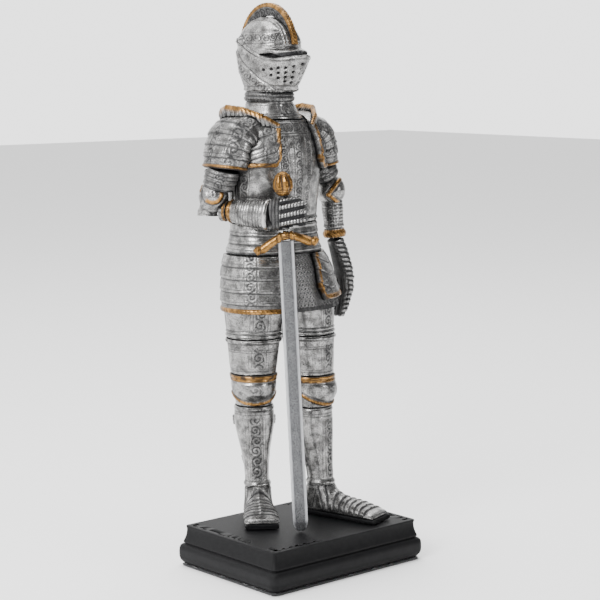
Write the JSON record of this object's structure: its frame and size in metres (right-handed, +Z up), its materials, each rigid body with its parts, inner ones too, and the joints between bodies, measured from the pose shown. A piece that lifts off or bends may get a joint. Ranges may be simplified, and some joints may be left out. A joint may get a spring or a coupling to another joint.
{
  "type": "knight statuette",
  "caption": "Standing armoured knight statuette in antiqued silver and gold, one hand on a long sword whose point rests on a black moulded plinth with a felt underside.",
  "frame": {"origin": "centre of the felt underside of the plinth", "axes": "+Z up, the knight faces -Y, the knight's right hand and the sword are on the -X side"},
  "size_m": [0.0826, 0.0618, 0.23],
  "materials": {
    "antique_silver": "antiqued silver paint with a black wash in the recesses",
    "dark_silver": "dark wash with dry-brushed silver",
    "antique_gold": "antiqued gold paint",
    "blade_grey": "satin pale grey metallic paint",
    "plinth_black": "satin black lacquer over cast resin",
    "felt": "black adhesive felt",
    "rod_steel": "plain drawn rod"
  },
  "bodies": {
    "root": {"backplate": "antique_silver", "bevor": "antique_silver", "breastplate": "antique_silver", "couter_left": "antique_silver", "couter_right": "antique_silver", "culet": "antique_silver", "fauld": "antique_silver", "felt_pad": "felt", "gauntlet_cuff_left": "antique_silver", "gauntlet_cuff_right": "antique_silver", "gorget": "antique_silver", "greave_left": "antique_silver", "greave_right": "antique_silver", "hand_left": "dark_silver", "hand_right": "dark_silver", "haute_piece_left": "antique_gold", "haute_piece_right": "antique_gold", "helmet_comb": "antique_silver", "helmet_skull": "antique_silver", "leg_rod_left": "rod_steel", "leg_rod_right": "rod_steel", "lower_cuisse_left": "antique_silver", "lower_cuisse_right": "antique_silver", "mail_skirt": "dark_silver", "neck_peg": "rod_steel", "neck_ring": "dark_silver", "pauldron_left": "antique_silver", "pauldron_right": "antique_silver", "plinth": "plinth_black", "poleyn_left": "antique_silver", "poleyn_right": "antique_silver", "rerebrace_left": "antique_silver", "rerebrace_right": "antique_silver", "sabaton_left": "antique_silver", "sabaton_right": "antique_silver", "shoulder_dowel_left": "rod_steel", "shoulder_dowel_right": "rod_steel", "sole_left": "plinth_black", "sole_right": "plinth_black", "sword_blade": "blade_grey", "sword_grip": "dark_silver", "sword_guard": "antique_gold", "sword_pommel": "antique_gold", "tasset_left": "antique_silver", "tasset_right": "antique_silver", "upper_cuisse_left": "antique_silver", "upper_cuisse_right": "antique_silver", "vambrace_left": "antique_silver", "vambrace_right": "antique_silver", "visor": "antique_silver"}
  },
  "joints": []
}
